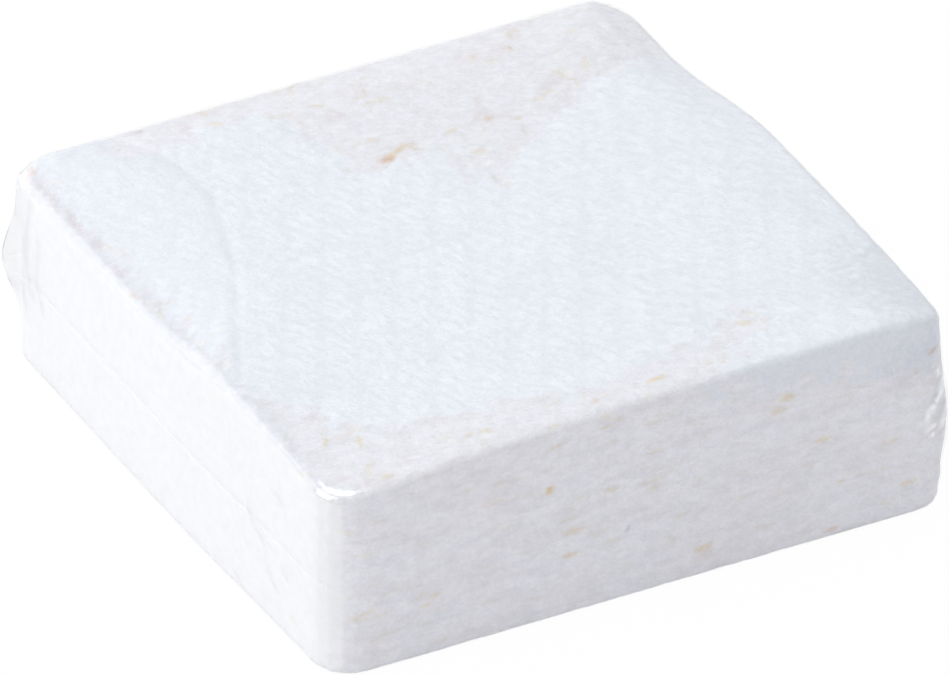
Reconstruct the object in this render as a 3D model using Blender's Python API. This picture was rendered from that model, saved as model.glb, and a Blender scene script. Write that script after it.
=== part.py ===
"""A gymnastics chalk block: one pressed cake of magnesium carbonate in its shrink film.

The block is a square slab with a crowned, worn top. The wrap is one web of film, folded in two
along the front, shrunk round the block and closed on the other three sides by trim welds: a side
weld at the back and an end weld on the left and on the right. The film stands off the corners in
dog-ears, and the welds run out along the ears to their tips.

Metres, +Z up, and the film's flat underside is at z = 0. +X runs along the folded front.
"""

import math
from typing import NamedTuple

import bmesh
import bpy
from mathutils import Vector

MM = 0.001

# Chalk block
BLOCK_LENGTH = 69.2 * MM  # along X
BLOCK_WIDTH = 67.6 * MM  # along Y
BLOCK_HEIGHT = 23.0 * MM  # at the crown of the top
CORNER_RADIUS = 2.8 * MM  # upright corners, front right and back left
WORN_CORNER_RADIUS = 4.2 * MM  # the two others, which are worn rounder
TOP_EDGE_RADIUS = 0.7 * MM
BOTTOM_EDGE_RADIUS = 0.8 * MM

# Wear of the top: how far each edge lies under the crown, and how far in the wear reaches
LEFT_WEAR = 2.2 * MM  # along the back half of the left edge, none at its front end
LEFT_WEAR_START = -19.0 * MM  # from the middle of the block, towards the back
LEFT_WEAR_END = 5.0 * MM
LEFT_WEAR_REACH = 2.5 * MM  # at least; where the lobe is, up to the lobe's border
BACK_WEAR = 0.9 * MM
BACK_WEAR_REACH = 4.0 * MM
RIGHT_WEAR = 0.4 * MM  # at the front end of the right edge
RIGHT_WEAR_GAIN = 1.2 * MM  # added towards the back end
RIGHT_WEAR_REACH = 4.0 * MM
LEFT_CORNER_DIP = 2.5 * MM  # extra, at the front left corner
LEFT_CORNER_DIP_REACH = 17.5 * MM
RIGHT_CORNER_DIP = 1.1 * MM  # and at the front right one
RIGHT_CORNER_DIP_REACH = 2.2 * MM  # along the front edge
RIGHT_CORNER_DIP_RUN = 9.0 * MM  # along the right edge

# Two sides draw in: the right one towards the back, and the left one towards the front
RIGHT_INSET = 1.5 * MM
RIGHT_INSET_START = 2.0 * MM  # from the middle of the block, towards the back
RIGHT_INSET_END = 22.0 * MM
LEFT_INSET = 0.6 * MM
LEFT_INSET_START = 0.0 * MM  # from the middle of the block, towards the front
LEFT_INSET_END = 30.0 * MM

# The press left a lobe beside the left edge: the top falls evenly from a round border to the edge
LOBE_RADIUS = 28.0 * MM
LOBE_CENTRE_X = -15.0 * MM  # from the left edge
LOBE_CENTRE_Y = 49.5 * MM  # from the front edge
LOBE_ROUNDING = 1.3  # 1 is a straight slope with a kink at the border

# Shrink film and its welds
FILM_THICKNESS = 0.1 * MM
CLEARANCE = 0.3 * MM  # between the block, the film and the weld beads
BEAD_RADIUS = 0.25 * MM
WELD_HEIGHT = 11.0 * MM  # above the film's underside
BEAD_STEP = 2.0 * MM  # between two points of a bead

# Dog-ears of surplus film: reach out from the corner, and slack above and below the weld
EAR_SPREAD = 4.5 * MM  # along the sides
BACK_EAR_REACH = 2.3 * MM
BACK_EAR_RISE = 12.0 * MM
BACK_EAR_FALL = 5.5 * MM
RIGHT_FRONT_EAR_REACH = 1.3 * MM
RIGHT_FRONT_EAR_RISE = 10.0 * MM
RIGHT_FRONT_EAR_FALL = 8.0 * MM
LEFT_FRONT_EAR_REACH = 0.4 * MM
LEFT_FRONT_EAR_RISE = 5.0 * MM
LEFT_FRONT_EAR_FALL = 5.0 * MM

# Lines along which the flat sides are divided, so that they can take the worn shape
EDGE_STATIONS = (0.8 * MM, 2.2 * MM, 4.2 * MM, 7.0 * MM)  # in from each edge
TOP_STEP = 3.2 * MM
SIDE_STEP = 2.6 * MM
CORNER_SEGMENTS = 5
EDGE_SEGMENTS = 2
CUTTER_MARGIN = 10.0 * MM
SNAP = 0.05 * MM  # a dividing plane this near to a corner point goes through it
SHARP_ANGLE = math.radians(50.0)  # edges that turn less than this are shaded smooth


class Ear(NamedTuple):
    """A dog-ear of surplus film at one upright corner."""

    side_x: int  # -1 left, 1 right
    side_y: int  # -1 front, 1 back
    reach: float
    rise: float
    fall: float


EARS = (
    Ear(-1, 1, BACK_EAR_REACH, BACK_EAR_RISE, BACK_EAR_FALL),
    Ear(1, 1, BACK_EAR_REACH, BACK_EAR_RISE, BACK_EAR_FALL),
    Ear(1, -1, RIGHT_FRONT_EAR_REACH, RIGHT_FRONT_EAR_RISE, RIGHT_FRONT_EAR_FALL),
    Ear(-1, -1, LEFT_FRONT_EAR_REACH, LEFT_FRONT_EAR_RISE, LEFT_FRONT_EAR_FALL),
)

# Looks: colour, roughness and how much light the surface lets through
CHALK = ((0.86, 0.87, 0.90), 0.9, 0.0)
FILM = ((0.93, 0.95, 0.98), 0.12, 0.8)
WELD = ((0.88, 0.90, 0.94), 0.2, 0.5)

FILM_INSIDE = CLEARANCE  # offsets from the block's own surface
FILM_OUTSIDE = CLEARANCE + FILM_THICKNESS
BEAD_MIDDLE = CLEARANCE + BEAD_RADIUS
BLOCK_BASE = FILM_OUTSIDE  # height of the block's underside


def smooth_step(value, start, end):
    """0 before start, 1 after end, and a smooth rise between them."""
    share = min(1.0, max(0.0, (value - start) / (end - start)))
    return share * share * (3.0 - 2.0 * share)


def bell(distance, reach):
    """1 at no distance, falling smoothly to nothing past the reach."""
    return math.exp(-((distance / reach) ** 2))


def corner_radius(side_x, side_y):
    """Radius of one upright corner of the block."""
    return WORN_CORNER_RADIUS if side_x == side_y else CORNER_RADIUS


def lobe_width(y):
    """How far in from the left edge the lobe's round border lies, or the wear if it reaches more."""
    off = BLOCK_WIDTH / 2 + y - LOBE_CENTRE_Y
    border = LOBE_CENTRE_X + math.sqrt(max(0.0, LOBE_RADIUS**2 - off**2))
    return max(LEFT_WEAR_REACH, border)


def edge_wear(x, y):
    """Drop of the top near its worn edges; where two edges meet, the deeper wear counts."""
    left = max(0.0, BLOCK_LENGTH / 2 + x)
    right = max(0.0, BLOCK_LENGTH / 2 - x)
    back = max(0.0, BLOCK_WIDTH / 2 - y)
    left_depth = LEFT_WEAR * smooth_step(y, LEFT_WEAR_START, LEFT_WEAR_END)
    left_share = max(0.0, 1 - left / lobe_width(y))
    gain = RIGHT_WEAR_GAIN * smooth_step(y, RIGHT_INSET_START, RIGHT_INSET_END)
    right_depth = RIGHT_WEAR + gain
    return max(
        left_depth * left_share**LOBE_ROUNDING,
        right_depth * bell(right, RIGHT_WEAR_REACH),
        BACK_WEAR * bell(back, BACK_WEAR_REACH),
    )


def top_drop(x, y):
    """How far the top lies under its crown at a place in plan."""
    left = max(0.0, BLOCK_LENGTH / 2 + x)
    right = max(0.0, BLOCK_LENGTH / 2 - x)
    front = max(0.0, BLOCK_WIDTH / 2 + y)
    dips = LEFT_CORNER_DIP * math.exp(-math.hypot(left, front) / LEFT_CORNER_DIP_REACH)
    away = math.hypot(right / RIGHT_CORNER_DIP_REACH, front / RIGHT_CORNER_DIP_RUN)
    dips += RIGHT_CORNER_DIP * math.exp(-away)
    return edge_wear(x, y) + dips


def drawn_in(x, y):
    """x after the right side has been drawn in towards the back, and the left towards the front."""
    share = (x / (BLOCK_LENGTH / 2)) ** 3
    if share > 0:
        return x - RIGHT_INSET * share * smooth_step(y, RIGHT_INSET_START, RIGHT_INSET_END)
    return x - LEFT_INSET * share * smooth_step(-y, LEFT_INSET_START, LEFT_INSET_END)


def corner_tip(side_x, side_y, grow):
    """Outermost point in plan of an upright corner, on the block's outline grown by a clearance."""
    inward = (corner_radius(side_x, side_y) + grow) * (1 - math.sqrt(0.5))
    x = side_x * (BLOCK_LENGTH / 2 + grow - inward)
    y = side_y * (BLOCK_WIDTH / 2 + grow - inward)
    return Vector((drawn_in(x, y), y))


def ear_push(x, y, z):
    """Plan vector by which the film stands off the block's corners at a point."""
    push = Vector((0.0, 0.0))
    for ear in EARS:
        along = (corner_tip(ear.side_x, ear.side_y, FILM_OUTSIDE) - Vector((x, y))).length
        height = z - WELD_HEIGHT
        slack = 1 - height / ear.rise if height > 0 else 1 - (height / ear.fall) ** 2
        if along < EAR_SPREAD and slack > 0:
            amount = ear.reach * (1 - along / EAR_SPREAD) ** 1.5 * slack
            push += amount * Vector((ear.side_x, ear.side_y)).normalized()
    return push


def collection(name):
    """A new collection in the scene."""
    made = bpy.data.collections.new(name)
    bpy.context.scene.collection.children.link(made)
    return made


def material(name, look):
    """A Principled material with a colour, a roughness and a share of light let through."""
    colour, roughness, clearness = look
    made = bpy.data.materials.new(name)
    made.use_nodes = True
    shader = made.node_tree.nodes["Principled BSDF"]
    shader.inputs["Base Color"].default_value = (*colour, 1.0)
    shader.inputs["Roughness"].default_value = roughness
    shader.inputs["Metallic"].default_value = 0.0
    shader.inputs["Alpha"].default_value = 1.0 - clearness
    return made


def bevel_edges(form, chosen, radius, segments):
    """Rounds the edges for which chosen(first, second) is true of their end points."""
    edges = [e for e in form.edges if chosen(e.verts[0].co, e.verts[1].co)]
    bmesh.ops.bevel(
        form,
        geom=edges,
        offset=radius,
        offset_type="OFFSET",
        segments=segments,
        profile=0.5,
        affect="EDGES",
        clamp_overlap=True,
    )


def divide(form, axis, stations):
    """Cuts lines into the form's faces where planes across the axis meet them."""
    normal = Vector([1.0 if i == axis else 0.0 for i in range(3)])
    for station in stations:
        geometry = form.verts[:] + form.edges[:] + form.faces[:]
        place = normal * station
        bmesh.ops.bisect_plane(form, geom=geometry, dist=SNAP, plane_co=place, plane_no=normal)


def span_stations(length):
    """Places across a side: close together near both edges, and evenly spaced between."""
    inner = length / 2 - EDGE_STATIONS[-1]
    count = max(1, round(2 * inner / TOP_STEP))
    middle = [-inner + 2 * inner * i / count for i in range(count + 1)]
    near = [length / 2 - station for station in EDGE_STATIONS[:-1]]
    return sorted([-place for place in near] + middle + near)


def height_stations():
    """Heights at which the sides are divided, one of them at the weld."""
    upward = int((BLOCK_HEIGHT + BLOCK_BASE - WELD_HEIGHT) / SIDE_STEP)
    downward = int((WELD_HEIGHT - BLOCK_BASE) / SIDE_STEP)
    return [WELD_HEIGHT + SIDE_STEP * i for i in range(-downward + 1, upward)]


def round_block(grow):
    """The square slab with its corners and edges rounded, grown by a clearance on every side."""
    form = bmesh.new()
    bmesh.ops.create_cube(form, size=1.0)
    size = Vector((BLOCK_LENGTH, BLOCK_WIDTH, BLOCK_HEIGHT)) + Vector((2 * grow,) * 3)
    bmesh.ops.scale(form, vec=size, verts=form.verts)
    bmesh.ops.translate(form, vec=(0, 0, BLOCK_BASE + BLOCK_HEIGHT / 2), verts=form.verts)
    for side_x in (-1, 1):
        for side_y in (-1, 1):
            place = Vector((side_x * size.x / 2, side_y * size.y / 2))
            bevel_edges(
                form,
                lambda a, b, place=place: all((p.xy - place).length < 1e-6 for p in (a, b)),
                corner_radius(side_x, side_y) + grow,
                CORNER_SEGMENTS,
            )
    top = BLOCK_BASE + BLOCK_HEIGHT + grow
    bottom = BLOCK_BASE - grow
    for level, radius in ((top, TOP_EDGE_RADIUS + grow), (bottom, BOTTOM_EDGE_RADIUS)):
        bevel_edges(
            form,
            lambda a, b, level=level: all(abs(p.z - level) < 1e-6 for p in (a, b)),
            radius,
            EDGE_SEGMENTS,
        )
    divide(form, 0, span_stations(BLOCK_LENGTH))
    divide(form, 1, span_stations(BLOCK_WIDTH))
    divide(form, 2, height_stations())
    return form


def block_surface(name, grow, with_ears=False):
    """A closed mesh of the worn block's surface, grown by a clearance; film also has its ears."""
    form = round_block(grow)
    bottom = BLOCK_BASE - grow
    for vertex in form.verts:
        x, y, z = vertex.co
        share = (z - bottom) / (BLOCK_HEIGHT + 2 * grow)
        z -= share * top_drop(x, y)
        x = drawn_in(x, y)
        push = ear_push(x, y, z) if with_ears else Vector((0.0, 0.0))
        vertex.co = (x + push.x, y + push.y, z)
    mesh = bpy.data.meshes.new(name)
    form.to_mesh(mesh)
    form.free()
    mesh.shade_smooth()
    mesh.set_sharp_from_angle(angle=SHARP_ANGLE)
    return bpy.data.objects.new(name, mesh)


def cutter(name, made, cutters):
    """Files an object as a cutter, which shows as a wire and never renders."""
    made.name = name
    made.hide_render = True
    made.display_type = "WIRE"
    cutters.objects.link(made)
    return made


def cut(piece, tool):
    """Takes the tool's shape out of the piece."""
    modifier = piece.modifiers.new(tool.name, "BOOLEAN")
    modifier.operation = "DIFFERENCE"
    modifier.solver = "EXACT"
    modifier.object = tool


def seam_cutter(cutters):
    """A flat slab that parts the two plies at the weld on every side but the folded front."""
    front = corner_tip(1, -1, FILM_OUTSIDE).y
    back = BLOCK_WIDTH / 2 + CUTTER_MARGIN
    form = bmesh.new()
    bmesh.ops.create_cube(form, size=1.0)
    size = (BLOCK_LENGTH + 2 * CUTTER_MARGIN, back - front, 2 * (BEAD_RADIUS + CLEARANCE))
    bmesh.ops.scale(form, vec=size, verts=form.verts)
    bmesh.ops.translate(form, vec=(0, (front + back) / 2, WELD_HEIGHT), verts=form.verts)
    mesh = bpy.data.meshes.new("seam_opening")
    form.to_mesh(mesh)
    form.free()
    return cutter("seam_opening", bpy.data.objects.new("seam_opening", mesh), cutters)


def shrink_film(parts, cutters):
    """The folded web: upper and lower ply with the fold along the front."""
    film = block_surface("shrink_film", FILM_OUTSIDE, with_ears=True)
    inside = block_surface("film_inside", FILM_INSIDE, with_ears=True)
    parts.objects.link(film)
    cut(film, cutter("film_inside", inside, cutters))
    cut(film, seam_cutter(cutters))
    return film


def side_outline(side_x, side_y, grow):
    """Plan points along one side at the weld, from one corner's tip to the next one's.

    The side is given by its outward direction, such as (0, 1) for the back.
    """
    along = Vector((abs(side_y), abs(side_x)))
    across = Vector((side_x, side_y))
    half = Vector((BLOCK_LENGTH / 2 + grow, BLOCK_WIDTH / 2 + grow))
    run, depth = half.dot(along), half.dot(Vector((abs(side_x), abs(side_y))))
    points = []
    for end in (-1, 1):
        corner = across + along * end
        radius = corner_radius(corner.x, corner.y) + grow
        centre = across * (depth - radius) + along * end * (run - radius)
        turns = [math.radians(45.0 * i / CORNER_SEGMENTS) for i in range(CORNER_SEGMENTS + 1)]
        arc = [
            centre + radius * (along * end * math.sin(t) + across * math.cos(t)) for t in turns
        ]
        points.append(arc[::-1] if end < 0 else arc)
    start, finish = points[0][-1], points[1][0]
    count = max(1, round((finish - start).length / BEAD_STEP))
    between = [start.lerp(finish, i / count) for i in range(1, count)]
    drawn = [Vector((drawn_in(p.x, p.y), p.y)) for p in points[0] + between + points[1]]
    return [p + ear_push(p.x, p.y, WELD_HEIGHT) for p in drawn]


def shortened(points, trim):
    """A plan line without the given length at both of its ends."""
    for _ in range(2):
        left = trim
        while (points[1] - points[0]).length < left:
            left -= (points[1] - points[0]).length
            points = points[1:]
        points = [points[0] + (points[1] - points[0]).normalized() * left, *points[1:]]
        points = points[::-1]
    return points


def weld_bead(name, side_x, side_y, parts):
    """A fused bead of film along one side, ending at the tips of the ears."""
    trim = BEAD_RADIUS + CLEARANCE
    plan = shortened(side_outline(side_x, side_y, BEAD_MIDDLE), trim)
    curve = bpy.data.curves.new(name, "CURVE")
    curve.dimensions = "3D"
    curve.bevel_depth = BEAD_RADIUS
    curve.bevel_resolution = 1
    curve.use_fill_caps = True
    spline = curve.splines.new("POLY")
    spline.points.add(len(plan) - 1)
    for point, place in zip(spline.points, plan):
        point.co = (place.x, place.y, WELD_HEIGHT, 1.0)
    bead = bpy.data.objects.new(name, curve)
    parts.objects.link(bead)
    return bead


def chalk_block(parts):
    """The pressed cake of magnesium carbonate."""
    block = block_surface("chalk_block", 0.0)
    parts.objects.link(block)
    return block


def plan_middle(pieces):
    """Middle, in plan, of the box round all the pieces as they finally are."""
    bpy.context.view_layer.update()
    graph = bpy.context.evaluated_depsgraph_get()
    points = []
    for piece in pieces:
        finished = piece.evaluated_get(graph)
        points += [piece.matrix_world @ vertex.co for vertex in finished.to_mesh().vertices]
        finished.to_mesh_clear()
    spans = [[point[axis] for point in points] for axis in (0, 1)]
    return Vector([(min(span) + max(span)) / 2 for span in spans])


def centre_on_base(pieces, cutters):
    """Moves all pieces together so that the middle of their box's base is the origin."""
    middle = plan_middle(pieces)
    frame = bpy.data.objects.new("wrapped_block", None)
    bpy.context.scene.collection.objects.link(frame)
    for piece in [*pieces, *cutters.objects]:
        piece.parent = frame
    frame.location = (-middle.x, -middle.y, 0.0)


def main():
    for leftover in list(bpy.data.objects):
        bpy.data.objects.remove(leftover)
    parts = collection("gymnastics_chalk_block")
    cutters = collection("cutters")
    chalk, film, weld = material("chalk", CHALK), material("film", FILM), material("weld", WELD)
    block = chalk_block(parts)
    block.data.materials.append(chalk)
    wrap = shrink_film(parts, cutters)
    wrap.data.materials.append(film)
    welds = [
        weld_bead("side_weld", 0, 1, parts),
        weld_bead("left_end_weld", -1, 0, parts),
        weld_bead("right_end_weld", 1, 0, parts),
    ]
    for bead in welds:
        bead.data.materials.append(weld)
    centre_on_base([block, wrap, *welds], cutters)


main()
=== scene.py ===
"""Looks of a gymnastics chalk block in its shrink film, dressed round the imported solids.

The block is one cake of pressed chalk. Its top keeps the knit print of the press cloth, and strips
along the back and the front of the top are cut open, where fibres and coloured flecks show. The
film lies on the cake, stands off its corners in dog-ears, and is closed by fused weld beads.

Sizes are in millimetres unless a name says otherwise, in the frame's own axes: +X runs along the
front, +Y points to the back, and the underside of the film is at height 0.
"""

import itertools
import logging
import math
from dataclasses import dataclass
from enum import Enum

import bmesh
import bpy
import numpy as np
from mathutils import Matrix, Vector


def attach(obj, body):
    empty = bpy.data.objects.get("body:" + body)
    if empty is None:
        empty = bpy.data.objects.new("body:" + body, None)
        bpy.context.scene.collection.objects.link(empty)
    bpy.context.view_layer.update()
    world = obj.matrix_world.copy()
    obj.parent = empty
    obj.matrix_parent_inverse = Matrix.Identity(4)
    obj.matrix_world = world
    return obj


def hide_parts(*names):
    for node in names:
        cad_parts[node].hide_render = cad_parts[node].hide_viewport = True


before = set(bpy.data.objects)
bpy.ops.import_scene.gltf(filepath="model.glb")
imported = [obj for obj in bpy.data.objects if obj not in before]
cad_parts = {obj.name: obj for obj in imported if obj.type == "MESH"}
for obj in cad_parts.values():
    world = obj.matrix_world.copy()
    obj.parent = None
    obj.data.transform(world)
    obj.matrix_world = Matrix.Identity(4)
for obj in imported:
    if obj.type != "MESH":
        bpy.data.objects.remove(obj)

MM = 0.001
LOG = logging.getLogger("chalk_block")

Span = tuple[float, float]
Point2 = tuple[float, float]
Point3 = tuple[float, float, float]
Colour = tuple[float, float, float]
Array = np.ndarray
Piece = bpy.types.Object
Tree = bpy.types.NodeTree
Node = bpy.types.Node
Socket = bpy.types.NodeSocket


class Face(Enum):
    """A side of the block, with its outward direction."""

    TOP = (0.0, 0.0, 1.0)
    UNDER = (0.0, 0.0, -1.0)
    LEFT = (-1.0, 0.0, 0.0)
    RIGHT = (1.0, 0.0, 0.0)
    FRONT = (0.0, -1.0, 0.0)
    BACK = (0.0, 1.0, 0.0)

    def flat(self, points: Array) -> Array:
        """The two coordinates of points that lie in this face, as an (n, 2) array."""
        axes = [axis for axis in range(3) if self.value[axis] == 0.0]
        return points[:, axes]


class Tint(Enum):
    """What flecks, stains, hollows and painted shade leave of the chalk's red, green and blue."""

    ORANGE = (0.90, 0.70, 0.54)
    YELLOW = (0.91, 0.75, 0.44)
    OCHRE = (0.94, 0.87, 0.74)
    PINK = (0.93, 0.84, 0.84)
    BROWN = (0.90, 0.85, 0.83)
    INK = (0.52, 0.56, 0.62)
    # Painted shade: a plain grey for soft patches that darken parts of the top and the front in
    # colour.
    PAINTED_SHADE = (0.905, 0.91, 0.92)
    # Painted shade and real tone: this grey darkens the print's hollows and the unprinted skin as
    # painted shade, and gives the mottle, speckle and side layers their own darker tone.
    SHADE_AND_TONE = (0.918, 0.922, 0.930)
    FLAKE = (0.925, 0.918, 0.915)
    BLUSH = (0.965, 0.925, 0.915)
    STRAW = (0.968, 0.922, 0.825)


# ---- Numbers over a surface ----


def smooth_step(values: Array, start: float, end: float) -> Array:
    """0 before start, 1 after end, and a smooth rise between them."""
    share = np.clip((values - start) / (end - start), 0.0, 1.0)
    return share * share * (3.0 - 2.0 * share)


def cell_number(cells: Array, seed: int) -> Array:
    """A number from 0 to 1 for each whole-number cell, the same on each run.

    Args:
        cells: Whole coordinates, one row for each cell.
        seed: Picks one of many unlike patterns.

    Returns:
        One number for each row.
    """
    primes = np.array((73856093, 19349663, 83492791), dtype=np.int64)[: cells.shape[1]]
    mixed = (cells.astype(np.int64) * primes).sum(axis=1) + np.int64(seed) * 1640531513
    mixed = (mixed ^ (mixed >> 13)) * 1274126177
    mixed = (mixed ^ (mixed >> 16)) & 0xFFFFFF
    return mixed / float(0xFFFFFF)


def noise(points: Array, cell: float | Point3, seed: int, octaves: int = 1) -> Array:
    """Smooth noise from about -1 to 1.

    Args:
        points: Places in millimetres, as an (n, 3) array.
        cell: Size of a cell, or its size along each axis.
        seed: Picks the pattern.
        octaves: How many layers are added, each half as large and half as strong.

    Returns:
        One value for each point.
    """
    total = np.zeros(len(points))
    weight = 0.0
    for layer in range(octaves):
        scaled = points / (np.array(cell) / 2**layer)
        base = np.floor(scaled)
        share = scaled - base
        share = share * share * (3.0 - 2.0 * share)
        value = np.zeros(len(points))
        for corner in itertools.product((0, 1), repeat=3):
            near = np.where(np.array(corner) == 1, share, 1.0 - share).prod(axis=1)
            value += near * cell_number(base + np.array(corner), seed + layer)
        total += (2.0 * value - 1.0) / 2**layer
        weight += 1.0 / 2**layer
    return total / weight


def line_distance(places: Array, line: tuple[Point2, ...]) -> Array:
    """How far each place is from a line of points in the same plane.

    Args:
        places: Places in the plane, as an (n, 2) array.
        line: The points of the line, in order.

    Returns:
        The distance to the nearest stretch of the line.
    """
    nearest = np.full(len(places), np.inf)
    for first, second in zip(line, line[1:]):
        start = np.array(first)
        run = np.array(second) - start
        along = np.clip((places - start) @ run / (run @ run), 0.0, 1.0)
        gap = np.linalg.norm(places - (start + along[:, None] * run), axis=1)
        nearest = np.minimum(nearest, gap)
    return nearest


def depth_inside(places: Array, outline: tuple[Point2, ...]) -> Array:
    """How far each place lies inside a closed outline; below 0 outside it.

    Args:
        places: Places in the plane, as an (n, 2) array.
        outline: The outline's corners, in order.

    Returns:
        The distance to the outline, with its sign.
    """
    closed = (*outline, outline[0])
    within = np.zeros(len(places), dtype=bool)
    for (x0, y0), (x1, y1) in zip(closed, closed[1:]):
        if y0 == y1:
            continue
        crossed = (y0 > places[:, 1]) != (y1 > places[:, 1])
        within ^= crossed & (places[:, 0] < x0 + (places[:, 1] - y0) * (x1 - x0) / (y1 - y0))
    return np.where(within, 1.0, -1.0) * line_distance(places, closed)


def read_rows(items: object, name: str, width: int, kind: type = float) -> Array:
    """A property of all vertices or edges of a mesh, as one row for each."""
    values = np.empty(len(items) * width, dtype=kind)
    items.foreach_get(name, values)
    return values.reshape(-1, width)


@dataclass(frozen=True)
class Skin:
    """The points, outward directions and edges of a mesh, in millimetres.

    Args:
        points: Places of the vertices, as an (n, 3) array.
        normals: Their outward directions.
        edges: Pairs of vertex numbers.
    """

    points: Array
    normals: Array
    edges: Array

    @classmethod
    def of(cls, piece: Piece) -> "Skin":
        """The skin of a mesh object as it stands."""
        mesh = piece.data
        points = read_rows(mesh.vertices, "co", 3) / MM
        normals = read_rows(mesh.vertices, "normal", 3)
        return cls(points, normals, read_rows(mesh.edges, "vertices", 2, np.int64))

    def averaged(self, values: Array, rounds: int) -> Array:
        """Values, or points, each moved halfway to the mean of its neighbours, some rounds over.

        Args:
            values: One number or one row for each vertex.
            rounds: How many times.

        Returns:
            The smoothed values.
        """
        rows = values.reshape(len(self.points), -1)
        first, second = self.edges.T
        degree = np.bincount(self.edges.ravel(), minlength=len(rows))
        for _ in range(rounds):
            total = np.zeros_like(rows)
            for column in range(rows.shape[1]):
                total[:, column] = np.bincount(first, rows[second, column], len(rows))
                total[:, column] += np.bincount(second, rows[first, column], len(rows))
            rows = 0.5 * rows + 0.5 * total / degree[:, None]
        return rows.reshape(values.shape)

    def facing(self, face: Face, start: float = 0.45, end: float = 0.8) -> Array:
        """1 where the skin looks the way of a face, 0 where it looks elsewhere."""
        return smooth_step(self.normals @ np.array(face.value), start, end)


def place_points(piece: Piece, points: Array) -> None:
    """Moves the vertices of a mesh object to points given in millimetres."""
    piece.data.vertices.foreach_set("co", (points * MM).ravel())
    piece.data.update()


def add_values(piece: Piece, name: str, values: Array) -> None:
    """Stores a number for each vertex under a name that the material reads."""
    stored = piece.data.attributes.new(name, "FLOAT", "POINT")
    stored.data.foreach_set("value", values.astype(np.float32))


def add_colours(piece: Piece, name: str, colours: Array) -> None:
    """Stores a colour for each vertex under a name that the material reads."""
    stored = piece.data.color_attributes.new(name, "FLOAT_COLOR", "POINT")
    opaque = np.ones((len(colours), 1))
    stored.data.foreach_set("color", np.hstack((colours, opaque)).ravel())


# ---- Meshes ----


def linked(name: str, data: bpy.types.ID) -> Piece:
    """A new object of the scene that shows some data."""
    made = bpy.data.objects.new(name, data)
    bpy.context.scene.collection.objects.link(made)
    return made


def plain_copy(source: Piece, name: str) -> Piece:
    """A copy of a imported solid, without its materials."""
    piece = linked(name, source.data.copy())
    piece.data.materials.clear()
    return piece


def finished(piece: Piece) -> None:
    """Applies all modifiers of a mesh object."""
    bpy.context.view_layer.update()
    graph = bpy.context.evaluated_depsgraph_get()
    made = bpy.data.meshes.new_from_object(piece.evaluated_get(graph))
    piece.modifiers.clear()
    piece.data = made
    made.name = piece.name


def even_copy(source: Piece, name: str, spacing: float) -> Piece:
    """A copy of a solid with an even mesh of small four-sided faces.

    Args:
        source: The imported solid.
        name: Name of the new piece.
        spacing: Length of a face's side, in millimetres.

    Returns:
        The new object, linked to the scene.
    """
    piece = plain_copy(source, name)
    remesh = piece.modifiers.new("even", "REMESH")
    remesh.mode = "VOXEL"
    remesh.voxel_size = spacing * MM
    finished(piece)
    return piece


def refine(piece: Piece, faces: tuple[Face, ...], limit: float) -> None:
    """Divides each mesh face in four where it looks the way of one of the block's faces."""
    form = bmesh.new()
    form.from_mesh(piece.data)
    form.normal_update()
    looks = [Vector(face.value) for face in faces]
    edges = set()
    for face in form.faces:
        if any(face.normal.dot(look) > limit for look in looks):
            edges.update(face.edges)
    bmesh.ops.subdivide_edges(form, edges=list(edges), cuts=1, use_grid_fill=True)
    form.to_mesh(piece.data)
    form.free()


def cling(piece: Piece, source: Piece) -> None:
    """Lays every vertex on the nearest place of a solid's surface."""
    wrap = piece.modifiers.new("cling", "SHRINKWRAP")
    wrap.target = source
    wrap.wrap_method = "NEAREST_SURFACEPOINT"
    finished(piece)


# ---- Shader nodes ----


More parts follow.
